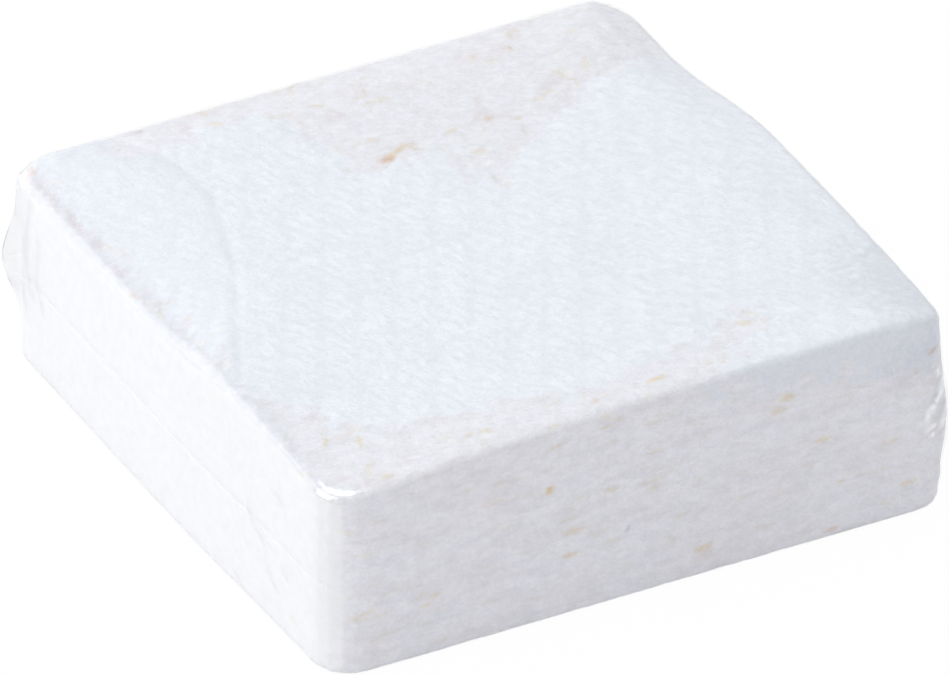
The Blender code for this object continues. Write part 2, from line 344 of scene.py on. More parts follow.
class Graph:
    """Short calls that place shader nodes in one tree and join them."""

    def __init__(self, tree: Tree) -> None:
        """Keeps the tree that the calls add to."""
        self.tree = tree

    def node(self, kind: str, *sources: object, **settings: object) -> Node:
        """A new node of a kind, with its properties set and its first inputs fed."""
        made = self.tree.nodes.new(kind)
        for name, value in settings.items():
            setattr(made, name, value)
        for target, source in zip(made.inputs, sources):
            self.feed(target, source)
        return made

    def feed(self, target: Socket, source: object) -> None:
        """Gives an input a socket to read, or a plain value."""
        if isinstance(source, Socket):
            self.tree.links.new(source, target)
        elif source is not None:
            target.default_value = source

    def sum(self, operation: str, *terms: object, clamp: bool = False) -> Socket:
        """One arithmetic step on sockets or numbers."""
        return self.node("ShaderNodeMath", *terms, operation=operation, use_clamp=clamp).outputs[0]

    def times(self, first: object, second: object) -> Socket:
        """The product of two sockets or numbers."""
        return self.sum("MULTIPLY", first, second)

    def without(self, share: object) -> Socket:
        """What is left of 1 without a share."""
        return self.sum("SUBTRACT", 1.0, share)

    def between(self, value: Socket, start: float, end: float, low: float, high: float) -> Socket:
        """A value carried smoothly from one span to another."""
        spans = (start, end, low, high)
        made = self.node("ShaderNodeMapRange", value, *spans, interpolation_type="SMOOTHSTEP")
        return made.outputs[0]

    def blend(self, mode: str, factor: object, first: object, second: object) -> Socket:
        """Two colours mixed in one of Blender's ways."""
        made = self.node("ShaderNodeMix", data_type="RGBA", blend_type=mode)
        self.feed(made.inputs[0], factor)
        self.feed(made.inputs[6], first if isinstance(first, Socket) else (*first, 1.0))
        self.feed(made.inputs[7], second if isinstance(second, Socket) else (*second, 1.0))
        return made.outputs[2]

    def shaded(self, share: object, colour: Socket, tint: Tint) -> Socket:
        """A colour with a share of a tint laid over it."""
        return self.blend("MULTIPLY", share, colour, tint.value)

    def scaled(self, vector: Socket, scale: Point3, turn: float = 0.0) -> Socket:
        """A vector turned about the upright and scaled along each axis."""
        turned = self.node("ShaderNodeVectorRotate", vector, rotation_type="Z_AXIS")
        self.feed(turned.inputs["Angle"], turn)
        made = self.node("ShaderNodeVectorMath", turned.outputs[0], scale, operation="MULTIPLY")
        return made.outputs[0]

    def noise(self, vector: Socket, scale: float, detail: float, bend: float = 0.0) -> Socket:
        """Blender's noise as a value from 0 to 1."""
        made = self.node("ShaderNodeTexNoise", noise_dimensions="3D")
        self.feed(made.inputs["Vector"], vector)
        self.feed(made.inputs["Scale"], scale)
        self.feed(made.inputs["Detail"], detail)
        self.feed(made.inputs["Roughness"], 0.55)
        self.feed(made.inputs["Distortion"], bend)
        return made.outputs[0]

    def stored(self, name: str, output: str = "Fac") -> Socket:
        """A number or colour that the mesh stores for each vertex."""
        return self.node("ShaderNodeAttribute", attribute_name=name).outputs[output]

    def held(self, group: Tree, vector: Socket, per_metre: float | None = None) -> Node:
        """A node that holds a group.

        Args:
            group: The group, whose first input is a vector.
            vector: Where on the piece.
            per_metre: How fine its pattern is, where it takes that as its second input.

        Returns:
            The group's node.
        """
        return self.node("ShaderNodeGroup", vector, per_metre, node_tree=group)

    def bump(self, shader: Node, height: Socket, depth: float) -> None:
        """Bends the light on a shader by a height from 0 to 1 that is some millimetres deep."""
        bump = self.node("ShaderNodeBump")
        self.feed(bump.inputs["Distance"], depth * MM)
        self.feed(bump.inputs["Height"], height)
        self.feed(shader.inputs["Normal"], bump.outputs["Normal"])


def new_material(name: str) -> tuple[bpy.types.Material, Graph, Node]:
    """A new material, its graph and its Principled shader."""
    made = bpy.data.materials.new(name)
    made.use_nodes = True
    return made, Graph(made.node_tree), made.node_tree.nodes["Principled BSDF"]


def new_group(
    name: str, settings: tuple[str, ...], gives: tuple[str, ...]
) -> tuple[Tree, Graph, Node, Node]:
    """An empty shader node group that reads a vector and gives numbers.

    Args:
        name: The group's name.
        settings: Names of the numbers that it reads too.
        gives: Names of the numbers that it gives.

    Returns:
        The group, its graph, and its input and output nodes.
    """
    group = bpy.data.node_groups.new(name, "ShaderNodeTree")
    group.interface.new_socket("Vector", in_out="INPUT", socket_type="NodeSocketVector")
    for way, names in (("INPUT", settings), ("OUTPUT", gives)):
        for number in names:
            group.interface.new_socket(number, in_out=way, socket_type="NodeSocketFloat")
    graph = Graph(group)
    return group, graph, graph.node("NodeGroupInput"), graph.node("NodeGroupOutput")


def powder_group() -> Tree:
    """Fine chalk dust: a height, a crisp speckle and a soft mottling, all from 0 to 1."""
    gives = ("Height", "Speckle", "Mottle")
    fineness = (1.0, 0.3, 0.1)
    detail = (3.0, 3.0, 4.0)
    spans = ((0.25, 0.75), (0.38, 0.62), (0.3, 0.7))
    group, graph, start, end = new_group("chalk_powder", ("Grain per Metre",), gives)
    for name, fine, layers, span in zip(gives, fineness, detail, spans):
        grains = graph.times(start.outputs["Grain per Metre"], fine)
        found = graph.noise(start.outputs["Vector"], grains, layers)
        graph.feed(end.inputs[name], graph.between(found, *span, 0.0, 1.0))
    return group


def knit_group(knit: "KnitPrint") -> Tree:
    """The press cloth's print: columns of short stacked arcs, as a height from 0 to 1."""
    group, graph, start, end = new_group("knit_print", (), ("Height",))
    vector = start.outputs["Vector"]
    drift = graph.node("ShaderNodeTexNoise", noise_dimensions="3D")
    graph.feed(drift.inputs["Vector"], vector)
    graph.feed(drift.inputs["Scale"], 1.0 / (knit.drift_size * MM))
    graph.feed(drift.inputs["Detail"], 3.0)
    reach = (knit.drift * MM,) * 3
    drifted = (drift.outputs["Color"], reach, vector)
    away = graph.node("ShaderNodeVectorMath", *drifted, operation="MULTIPLY_ADD")
    per_metre = (1.0 / (knit.column_pitch * MM), 1.0 / (knit.row_pitch * MM), 0.0)
    turned = graph.scaled(away.outputs[0], per_metre, -knit.angle)
    column, row, _ = graph.node("ShaderNodeSeparateXYZ", turned).outputs
    aside = graph.sum("SUBTRACT", graph.sum("FRACT", column), 0.5)
    across = graph.node("ShaderNodeSeparateXYZ", vector).outputs[0]
    left, right = knit.slope_from * MM, knit.slope_to * MM
    slope = graph.between(across, left, right, knit.slope_left, knit.slope_right)
    arch = graph.times(graph.times(aside, aside), 4.0 * knit.arch)
    lean = graph.sum("MULTIPLY_ADD", aside, slope, arch)
    chance = graph.node("ShaderNodeTexWhiteNoise", noise_dimensions="1D")
    graph.feed(chance.inputs["W"], graph.sum("FLOOR", column))
    phase = graph.sum("ADD", graph.sum("ADD", row, lean), chance.outputs["Value"])
    uneven = graph.noise(vector, 1.0 / (knit.worn_size * MM), 3.0)
    phase = graph.sum("MULTIPLY_ADD", uneven, knit.unevenness, phase)
    wave = graph.sum("COSINE", graph.times(phase, 2.0 * math.pi))
    arcs = graph.between(wave, *knit.arc_span, 0.0, 1.0)
    stalk = graph.between(graph.sum("ABSOLUTE", aside), *knit.stalk_span, 1.0, knit.gap)
    worn = graph.noise(vector, knit.worn_fineness / (knit.worn_size * MM), 4.0)
    worn = graph.between(worn, *knit.worn_span, 0.0, 1.0)
    blot_size = (1.0 / (knit.blot_length * MM), 1.0 / (knit.blot_width * MM), 1.0)
    blots = graph.noise(graph.scaled(vector, blot_size, -knit.blot_angle), 1.0, 2.0)
    blots = graph.between(blots, *knit.blot_span, 0.0, knit.blot_share)
    cloud = graph.noise(vector, knit.cloud_fineness / (knit.worn_size * MM), 3.0)
    cloud = graph.between(cloud, *knit.cloud_span, 0.0, 1.0)
    stitches = graph.times(graph.sum("MAXIMUM", graph.times(arcs, worn), blots), stalk)
    stitches = graph.times(stitches, graph.between(cloud, 0.0, 1.0, *knit.stitch_share))
    graph.feed(end.inputs["Height"], graph.sum("MULTIPLY_ADD", cloud, knit.cloud_share, stitches))
    return group


FLAKE_SQUEEZE = (1.0, 1.7, 1.7)
FLAKE_TURN = 0.35
FLAKE_BEND = 0.4
FLAKE_SPAN = (0.4, 0.62)


def flake_group() -> Tree:
    """Crumbled flakes of chalk and pressed fibres: soft short blots, as a value from 0 to 1."""
    group, graph, start, end = new_group("crumbled_flakes", ("Flakes per Metre",), ("Flake",))
    flat = graph.scaled(start.outputs["Vector"], FLAKE_SQUEEZE, FLAKE_TURN)
    blots = graph.noise(flat, start.outputs["Flakes per Metre"], 3.0, FLAKE_BEND)
    graph.feed(end.inputs["Flake"], graph.between(blots, *FLAKE_SPAN, 0.0, 1.0))
    return group


# ---- The cake of chalk ----


@dataclass(frozen=True)
class KnitPrint:
    """The press cloth's stitches: arcs in columns, which lean and drift over the top.

    Args:
        column_pitch: From one column of stitches to the next.
        row_pitch: From one stitch to the next in a column.
        angle: How the rows run in plan.
        slope_left: How many rows a stitch falls across its column, at the left of the top.
        slope_right: The same at the right.
        slope_from: Where the lean begins to change, along the front.
        slope_to: Where it ends.
        arch: How many rows the ends of a stitch lie below its middle.
        gap: How much of the print is left between two columns.
        drift: How far the stitches stray from their rows.
        drift_size: Size of the parts that stray together.
        worn_size: Size of the worn places in the print.
        unevenness: How many rows the stitches shift within the worn size.
        cloud_share: How much the soft clouds between the stitches lift the skin.
        blot_length: Length of the blots that worn stitches run together in.
        blot_width: Their width.
        blot_angle: How they lie in plan.
        blot_share: How plain they are beside the stitches.
        worn_fineness: How much finer than the worn size the wear is drawn.
        cloud_fineness: The same for the clouds.
        arc_span: The wave's values between which an arc rises.
        stalk_span: Where in a column its print fades to the gap, from 0 in the middle to 0.5.
        worn_span: The noise's values between which the print is worn.
        blot_span: The same for the blots.
        cloud_span: The same for the clouds.
        stitch_share: How plain the stitches are outside and inside the clouds.
        relief_drift: How much of the drift the stitches' relief in the mesh takes.
    """

    column_pitch: float = 3.7
    row_pitch: float = 1.85
    angle: float = math.radians(-27.6)
    slope_left: float = 1.8
    slope_right: float = 0.7
    slope_from: float = -12.0
    slope_to: float = 12.0
    arch: float = 0.4
    gap: float = 0.3
    drift: float = 1.8
    drift_size: float = 4.5
    worn_size: float = 1.7
    unevenness: float = 0.9
    cloud_share: float = 0.25
    blot_length: float = 1.9
    blot_width: float = 0.95
    blot_angle: float = math.radians(-62.0)
    blot_share: float = 0.8
    worn_fineness: float = 1.2
    cloud_fineness: float = 0.4
    arc_span: Span = (-0.7, 0.5)
    stalk_span: Span = (0.26, 0.5)
    worn_span: Span = (0.34, 0.6)
    blot_span: Span = (0.44, 0.6)
    cloud_span: Span = (0.34, 0.66)
    stitch_share: Span = (0.6, 0.8)
    relief_drift: float = 0.4

    def stitches(self, points: Array, seed: int) -> Array:
        """The soft rise and fall of the stitches, from -1 to 1, for places in millimetres."""
        strayed = points[:, :2].copy()
        for axis in range(2):
            away = noise(points, self.drift_size, seed + axis, 2)
            strayed[:, axis] += self.relief_drift * self.drift * away
        x, y = strayed.T
        column = (x * math.cos(self.angle) + y * math.sin(self.angle)) / self.column_pitch
        row = (y * math.cos(self.angle) - x * math.sin(self.angle)) / self.row_pitch
        number = np.floor(column)
        aside = column - number - 0.5
        change = smooth_step(x, self.slope_from, self.slope_to)
        slope = self.slope_left + (self.slope_right - self.slope_left) * change
        lean = aside * slope + 4.0 * self.arch * aside**2
        phase = row + lean + cell_number(number[:, None], seed)
        worn = smooth_step(noise(points, self.worn_size, seed + 2, 2), -0.4, 0.4)
        return np.cos(2.0 * math.pi * phase) * worn * smooth_step(0.5 - np.abs(aside), 0.0, 0.2)


PATCH_FRAY = 0.7
PATCH_EDGE = (0.3, 1.5)


@dataclass(frozen=True)
class ColourPatch:
    """A coloured speck pressed into the chalk; the grey ones are soft patches of painted shade.

    Args:
        face: The side it lies in.
        place: Its middle in that side.
        length: How long it is.
        width: How wide it is.
        tint: Its colour.
        strength: 1 takes the whole tint.
        turn: Angle of its length in the side, in degrees.
    """

    face: Face
    place: Point2
    length: float
    width: float
    tint: Tint
    strength: float = 0.8
    turn: float = -20.0

    def share(self, skin: Skin, ragged: Array) -> Array:
        """How much of the tint each point of a skin takes.

        Args:
            skin: The chalk's skin.
            ragged: Noise that frays the outline.

        Returns:
            A share from 0 to 1 for each point.
        """
        offset = self.face.flat(skin.points) - np.array(self.place)
        ahead = np.array((math.cos(math.radians(self.turn)), math.sin(math.radians(self.turn))))
        along = offset @ ahead / (self.length / 2)
        beside = offset @ np.array((-ahead[1], ahead[0])) / (self.width / 2)
        far = np.hypot(along, beside) + PATCH_FRAY * ragged
        inside = 1.0 - smooth_step(far, *PATCH_EDGE)
        return self.strength * inside * skin.facing(self.face, 0.3, 0.6)


@dataclass(frozen=True)
class Stain:
    """Blots in the open chalk, drawn by noise.

    Args:
        tint: What they do to the colour.
        per_metre: How fine they are.
        span: The noise's values between which they fade in.
        strength: 1 takes the whole tint.
        stretch: How many times as long as high they are.
        turn: How they are turned in plan.
        detail: How many finer layers the noise has.
        bend: How crooked they are.
    """

    tint: Tint
    per_metre: float
    span: Span
    strength: float
    stretch: float = 1.0
    turn: float = 0.0
    detail: float = 5.0
    bend: float = 0.3

    def over(self, graph: Graph, colour: Socket, vector: Socket, where: Socket) -> Socket:
        """A colour with the blots laid over it, as far as a share lets them."""
        placed = graph.scaled(vector, (1.0, 1.0, self.stretch), self.turn)
        found = graph.noise(placed, self.per_metre, self.detail, self.bend)
        share = graph.times(graph.between(found, *self.span, 0.0, self.strength), where)
        return graph.shaded(share, colour, self.tint)


LAYERS = (
    Stain(Tint.SHADE_AND_TONE, 330.0, (0.42, 0.64), 0.6, stretch=3.0),
    Stain(Tint.BLUSH, 160.0, (0.4, 0.6), 0.35, stretch=1.8, detail=4.0),
    Stain(Tint.STRAW, 230.0, (0.55, 0.71), 0.65, stretch=3.4, detail=4.0),
)
CLOUDS = (
    Stain(Tint.BLUSH, 240.0, (0.5, 0.68), 0.9, bend=0.5),
    Stain(Tint.STRAW, 330.0, (0.58, 0.7), 0.9, turn=2.1, bend=0.8),
)


@dataclass(frozen=True)
class ChalkFinish:
    """Matt pressed chalk: a bluish pressed skin, and a warmer body where it is cut open. Its colour
    also holds painted shade in the print's hollows and on the unprinted skin, and painted light on
    the left end, which faces the key lamp.
    """

    skin_colour: Colour = (0.873, 0.903, 0.957)
    cut_colour: Colour = (0.912, 0.922, 0.965)
    side_skin_colour: Colour = (0.842, 0.862, 0.920)
    side_colour: Colour = (0.886, 0.884, 0.932)
    # Painted light: a less blue, key-lit copy of the side colour, used on the left end, which faces
    # the key lamp.
    key_lit_side_colour: Colour = (0.874, 0.876, 0.884)
    grain_per_metre: float = 9000.0
    flakes_per_metre: float = 620.0
    fray_per_metre: float = 420.0
    fray: float = 1.6
    fray_reach: float = 7.0
    # Painted shade: how much darker in colour the unprinted pressed skin is made.
    unprinted_painted_shade: float = 0.5
    mottle_shade: float = 0.45
    speckle_shade: float = 0.55
    flake_shade: float = 0.5
    roughness_low: float = 0.84
    roughness_high: float = 0.97
    specular: float = 0.25
    bump_depth: float = 0.05
    print_bump: float = 0.8
    flake_bump: float = 0.7
    powder_bump: float = 0.35

    def material(self, knit: KnitPrint) -> bpy.types.Material:
        """The chalk's material.

        Args:
            knit: The print on the pressed skin.

        Returns:
            A material that reads the values stored on the cake.
        """
        made, graph, shader = new_material("pressed_chalk")
        vector = graph.node("ShaderNodeTexCoord").outputs["Object"]
        powder = graph.held(powder_group(), vector, self.grain_per_metre)
        flakes = graph.held(flake_group(), vector, self.flakes_per_metre)
        knitted = graph.held(knit_group(knit), vector)
        side = graph.stored("side")
        # Painted light: this value is 1 away from the left end and low on it. There the key lamp's
        # wash is painted in by calmer marks and by the key-lit side colour.
        unwashed_by_key = graph.stored("unwashed_by_key")
        printed = graph.stored("printed")
        cut = self.cut_share(graph, vector)
        skin = graph.without(cut)
        opened = graph.times(cut, unwashed_by_key)
        print_height = graph.times(graph.times(knitted.outputs["Height"], skin), printed)
        flake = graph.times(flakes.outputs["Flake"], opened)
        mottle = powder.outputs["Mottle"]
        speckle = graph.times(powder.outputs["Speckle"], unwashed_by_key)
        plain = graph.times(graph.times(graph.without(printed), self.unprinted_painted_shade), skin)
        pressed = graph.blend("MIX", side, self.skin_colour, self.side_skin_colour)
        # Painted light: the left end takes the key-lit copy of the side colour.
        body = graph.blend("MIX", unwashed_by_key, self.key_lit_side_colour, self.side_colour)
        body = graph.blend("MIX", side, self.cut_colour, body)
        colour = graph.blend("MIX", cut, pressed, body)
        # Painted shade: the hollows of the knit print are darkened in colour, beside their bump.
        colour = graph.shaded(graph.without(print_height), colour, Tint.SHADE_AND_TONE)
        # Painted shade: where the print is faint, in the top's left lobe and on the front, the
        # pressed skin is darkened in colour.
        colour = graph.shaded(plain, colour, Tint.SHADE_AND_TONE)
        colour = graph.shaded(graph.times(mottle, self.mottle_shade), colour, Tint.SHADE_AND_TONE)
        colour = graph.shaded(graph.times(speckle, self.speckle_shade), colour, Tint.SHADE_AND_TONE)
        colour = graph.shaded(graph.times(flake, self.flake_shade), colour, Tint.FLAKE)
        on_side = graph.times(side, opened)
        on_top = graph.times(graph.without(side), opened)
        for stains, where in ((LAYERS, on_side), (CLOUDS, on_top)):
            for stain in stains:
                colour = stain.over(graph, colour, vector, where)
        # The stored colour holds the flecks and also the grey patches of painted shade.
        colour = graph.blend("MULTIPLY", 1.0, colour, graph.stored("tinted_patch", "Color"))
        graph.feed(shader.inputs["Base Color"], colour)
        rough = graph.between(mottle, 0.0, 1.0, self.roughness_low, self.roughness_high)
        graph.feed(shader.inputs["Roughness"], rough)
        graph.feed(shader.inputs["Metallic"], 0.0)
        graph.feed(shader.inputs["Specular IOR Level"], self.specular)
        height = graph.times(flake, self.flake_bump)
        height = graph.sum("MULTIPLY_ADD", print_height, self.print_bump, height)
        height = graph.sum("MULTIPLY_ADD", powder.outputs["Height"], self.powder_bump, height)
        graph.bump(shader, height, self.bump_depth)
        return made

    def cut_share(self, graph: Graph, vector: Socket) -> Socket:
        """1 where the skin is cut open: the stored distance past the border, frayed by noise."""
        ragged = graph.sum("SUBTRACT", graph.noise(vector, self.fray_per_metre, 5.0), 0.5)
        reach = self.fray_reach * self.fray
        edge = graph.sum("MULTIPLY_ADD", ragged, reach, graph.stored("cut"))
        return graph.between(edge, -0.5 * self.fray, 0.5 * self.fray, 0.0, 1.0)


BACK_CUT = (
    (-25.3, 45.0),
    (-25.3, 32.3),
    (-24.8, 26.8),
    (-20.4, 27.6),
    (-15.4, 28.7),
    (-9.0, 28.0),
    (-7.0, 21.0),
    (-6.3, 14.9),
    (-3.4, 13.6),
    (3.4, 15.2),
    (4.3, 8.5),
    (6.6, 6.1),
    (10.8, 11.0),
    (17.1, 14.3),
    (23.4, 17.8),
    (35.5, 22.0),
    (45.0, 45.0),
)
FRONT_CUT = (
    (-45.0, -45.0),
    (-45.0, 0.0),
    (-33.9, -8.4),
    (-32.3, -13.9),
    (-27.9, -22.7),
    (-22.3, -26.8),
    (-12.1, -28.4),
    (-6.3, -30.2),
    (0.5, -29.9),
    (10.3, -28.3),
    (14.1, -25.3),
    (18.9, -24.8),
    (17.2, -28.6),
    (9.2, -34.0),
    (9.2, -45.0),
)
FRONT_SKIN = (
    (3.0, 45.0),
    (7.6, 22.2),
    (13.9, 20.9),
    (20.6, 19.4),
    (33.1, 17.8),
    (45.0, 17.6),
    (45.0, 45.0),
)
LOBE_BORDER = (
    (-32.6, -12.5),
    (-31.1, -9.5),
    (-28.5, -4.3),
    (-24.7, 3.6),
    (-22.1, 10.7),
    (-20.3, 17.5),
    (-20.6, 23.9),
    (-22.3, 28.8),
    (-23.4, 32.9),
)

RIDGE_PLACES = (29.8, 27.1, 23.2, 21.2, 17.0, 12.8)
FLECKS_AND_SHADE = (
    ColourPatch(Face.TOP, (-1.8, 15.3), 1.5, 1.1, Tint.ORANGE, 0.95, 10.0),
    ColourPatch(Face.TOP, (-0.3, 16.2), 2.8, 0.7, Tint.YELLOW, 0.6, 28.0),
    ColourPatch(Face.TOP, (-1.6, 19.0), 1.6, 0.8, Tint.OCHRE, 0.8, -30.0),
    ColourPatch(Face.TOP, (6.2, 17.0), 1.6, 0.8, Tint.OCHRE, 0.9, 10.0),
    ColourPatch(Face.TOP, (10.6, 17.2), 1.4, 0.7, Tint.ORANGE, 0.5, 30.0),
    ColourPatch(Face.TOP, (13.2, 16.0), 1.3, 0.7, Tint.OCHRE, 0.9, -30.0),
    ColourPatch(Face.TOP, (7.0, 12.4), 1.8, 1.0, Tint.OCHRE, 0.9, -10.0),
    ColourPatch(Face.TOP, (-33.9, 7.9), 1.1, 0.6, Tint.ORANGE, 0.75, 80.0),
    ColourPatch(Face.TOP, (-33.5, 32.0), 1.6, 1.0, Tint.ORANGE, 0.4, 40.0),
    ColourPatch(Face.TOP, (-21.0, 32.4), 1.0, 0.7, Tint.PINK, 1.0, 20.0),
    ColourPatch(Face.TOP, (-13.9, 29.5), 1.5, 0.7, Tint.YELLOW, 0.4, -10.0),
    ColourPatch(Face.TOP, (19.9, 30.6), 1.8, 0.8, Tint.OCHRE, 0.8, 60.0),
    ColourPatch(Face.TOP, (25.3, 27.8), 1.3, 0.7, Tint.OCHRE, 0.8, 10.0),
    ColourPatch(Face.TOP, (15.7, -27.1), 1.8, 0.8, Tint.YELLOW, 0.5, -20.0),
    ColourPatch(Face.TOP, (3.4, -31.9), 1.9, 0.9, Tint.YELLOW, 0.75, 5.0),
    ColourPatch(Face.TOP, (-3.5, -32.3), 1.4, 0.8, Tint.ORANGE, 0.5, 5.0),
    ColourPatch(Face.TOP, (-15.2, -31.6), 1.6, 0.9, Tint.OCHRE, 1.0, -15.0),
    ColourPatch(Face.TOP, (-16.9, -31.3), 1.2, 0.7, Tint.ORANGE, 0.45, 15.0),
    ColourPatch(Face.TOP, (-27.0, -33.0), 1.3, 0.8, Tint.OCHRE, 0.8, 0.0),
    ColourPatch(Face.FRONT, (-9.7, 15.7), 0.9, 0.8, Tint.YELLOW, 0.95, 70.0),
    ColourPatch(Face.FRONT, (-2.8, 13.8), 2.2, 0.6, Tint.OCHRE, 1.0, 0.0),
    ColourPatch(Face.FRONT, (-7.0, 10.2), 3.2, 0.8, Tint.OCHRE, 1.0, 0.0),
    ColourPatch(Face.FRONT, (-1.0, 8.5), 0.7, 0.4, Tint.INK, 0.9, 0.0),
    ColourPatch(Face.FRONT, (-22.6, 7.3), 1.6, 0.6, Tint.OCHRE, 0.9, 10.0),
    ColourPatch(Face.FRONT, (-30.5, 7.4), 3.0, 0.7, Tint.OCHRE, 0.7, 8.0),
    ColourPatch(Face.FRONT, (2.2, 12.6), 1.5, 0.6, Tint.OCHRE, 0.8, 0.0),
    ColourPatch(Face.FRONT, (5.0, 8.4), 1.8, 0.6, Tint.OCHRE, 0.7, 0.0),
    ColourPatch(Face.FRONT, (21.9, 1.4), 1.4, 0.6, Tint.ORANGE, 0.6, 10.0),
    ColourPatch(Face.FRONT, (33.3, 19.0), 1.1, 0.7, Tint.ORANGE, 0.7, 0.0),
    ColourPatch(Face.FRONT, (31.3, 17.3), 1.0, 0.6, Tint.OCHRE, 0.8, 0.0),
    *(
        ColourPatch(Face.TOP, (-33.4, place), 2.6, 0.8, tint, 0.55, 80.0)
        for place, tint in zip(RIDGE_PLACES, (Tint.BROWN, Tint.PINK) * 3)
    ),
    # Painted shade: these three soft grey patches darken the top along its left ridge, the top's
    # right front corner and the upper right end of the front.
    ColourPatch(Face.TOP, (-34.0, 2.0), 90.0, 3.2, Tint.PAINTED_SHADE, 0.9, 90.0),
    ColourPatch(Face.TOP, (32.8, -27.0), 16.0, 11.0, Tint.PAINTED_SHADE, 1.0, 90.0),
    ColourPatch(Face.FRONT, (32.0, 18.5), 9.0, 6.0, Tint.PAINTED_SHADE, 0.8, 0.0),
    ColourPatch(Face.LEFT, (-26.7, 3.4), 1.6, 0.8, Tint.OCHRE, 0.6, 0.0),
)


@dataclass(frozen=True)
class PressedTop:
    """The large soft forms of the pressed top, which the film follows too."""

    facet_rounds: int = 6
    swell: float = 0.1
    swell_size: float = 13.0
    groove: float = 0.13
    groove_half_width: float = 0.6
    seed: int = 71

    def surface(self, skin: Skin, stand_out: float) -> Array:
        """The solid's surface with its flat facets eased and the forms of its top, moved outward.

        Args:
            skin: The solid's skin.
            stand_out: How far outward, in millimetres.

        Returns:
            The new place of each point.
        """
        eased = skin.averaged(skin.points, self.facet_rounds)
        flatness = np.abs(skin.normals).max(axis=1)
        amount = smooth_step(flatness, 0.93, 0.99)[:, None]
        points = skin.points + amount * (eased - skin.points)
        points += skin.averaged(skin.normals, 1) * stand_out
        points[:, 2] += self.rise(skin)
        return points

    def rise(self, skin: Skin) -> Array:
        """How far the swells lift the top and the groove round the lobe lowers it."""
        swells = self.swell * noise(skin.points, self.swell_size, self.seed, 2)
        off = line_distance(skin.points[:, :2], LOBE_BORDER) / self.groove_half_width
        return (swells - self.groove * np.exp(-(off**2))) * skin.facing(Face.TOP)


EAR_SPREAD = 4.5
EAR_POWER = 1.5


@dataclass(frozen=True)
class Ear:
    """A dog-ear of surplus film at an upright corner.

    Args:
        side_x: -1 at the left end, 1 at the right end.
        side_y: -1 at the front, 1 at the back.
        outline: Height and reach of points down the ear's free edge.
        veil: How much the folded film of the ear hides.
    """

    side_x: int
    side_y: int
    outline: tuple[Point2, ...]
    veil: float = 2.0

    def reach(self, heights: Array) -> Array:
        """How far the ear stands off at each height."""
        return np.interp(heights, *zip(*self.outline))

    def outward(self) -> Array:
        """The way the ear points in plan."""
        return np.array((self.side_x, self.side_y)) / math.sqrt(2.0)

    def distance(self, skin: Skin) -> Array:
        """How far each point is from the upright corner that the ear stands on, in plan."""
        plan = skin.points[:, :2]
        return np.linalg.norm(plan - plan[np.argmax(plan @ self.outward())], axis=1)

    def moves(self, skin: Skin) -> Array:
        """How far the ear takes each point of a skin off its corner."""
        near = np.clip(1.0 - self.distance(skin) / EAR_SPREAD, 0.0, 1.0)
        upright = 1.0 - skin.facing(Face.TOP) - skin.facing(Face.UNDER)
        return self.reach(skin.points[:, 2]) * near**EAR_POWER * np.clip(upright, 0.0, 1.0)


BACK_EAR_OUTLINE = (
    (4.6, 0.0),
    (6.9, 0.4),
    (8.7, 1.55),
    (10.5, 2.1),
    (12.3, 2.1),
    (14.0, 1.65),
    (15.8, 1.05),
    (17.6, 0.65),
    (21.2, 0.5),
    (23.4, 0.0),
)
RIGHT_FRONT_EAR_OUTLINE = (
    (1.6, 0.0),
    (2.6, 0.15),
    (3.6, 0.45),
    (5.0, 0.4),
    (8.0, 0.95),
    (11.0, 1.35),
    (13.5, 1.0),
    (17.0, 0.45),
    (21.0, 0.0),
)
LEFT_FRONT_EAR_OUTLINE = ((6.0, 0.0), (9.0, 0.3), (11.0, 0.4), (13.0, 0.3), (16.0, 0.0))

RIGHT_FRONT_EAR = Ear(1, -1, RIGHT_FRONT_EAR_OUTLINE, 0.1)
EARS = (
    Ear(-1, 1, BACK_EAR_OUTLINE),
    Ear(1, 1, BACK_EAR_OUTLINE),
    RIGHT_FRONT_EAR,
    Ear(-1, -1, LEFT_FRONT_EAR_OUTLINE),
)


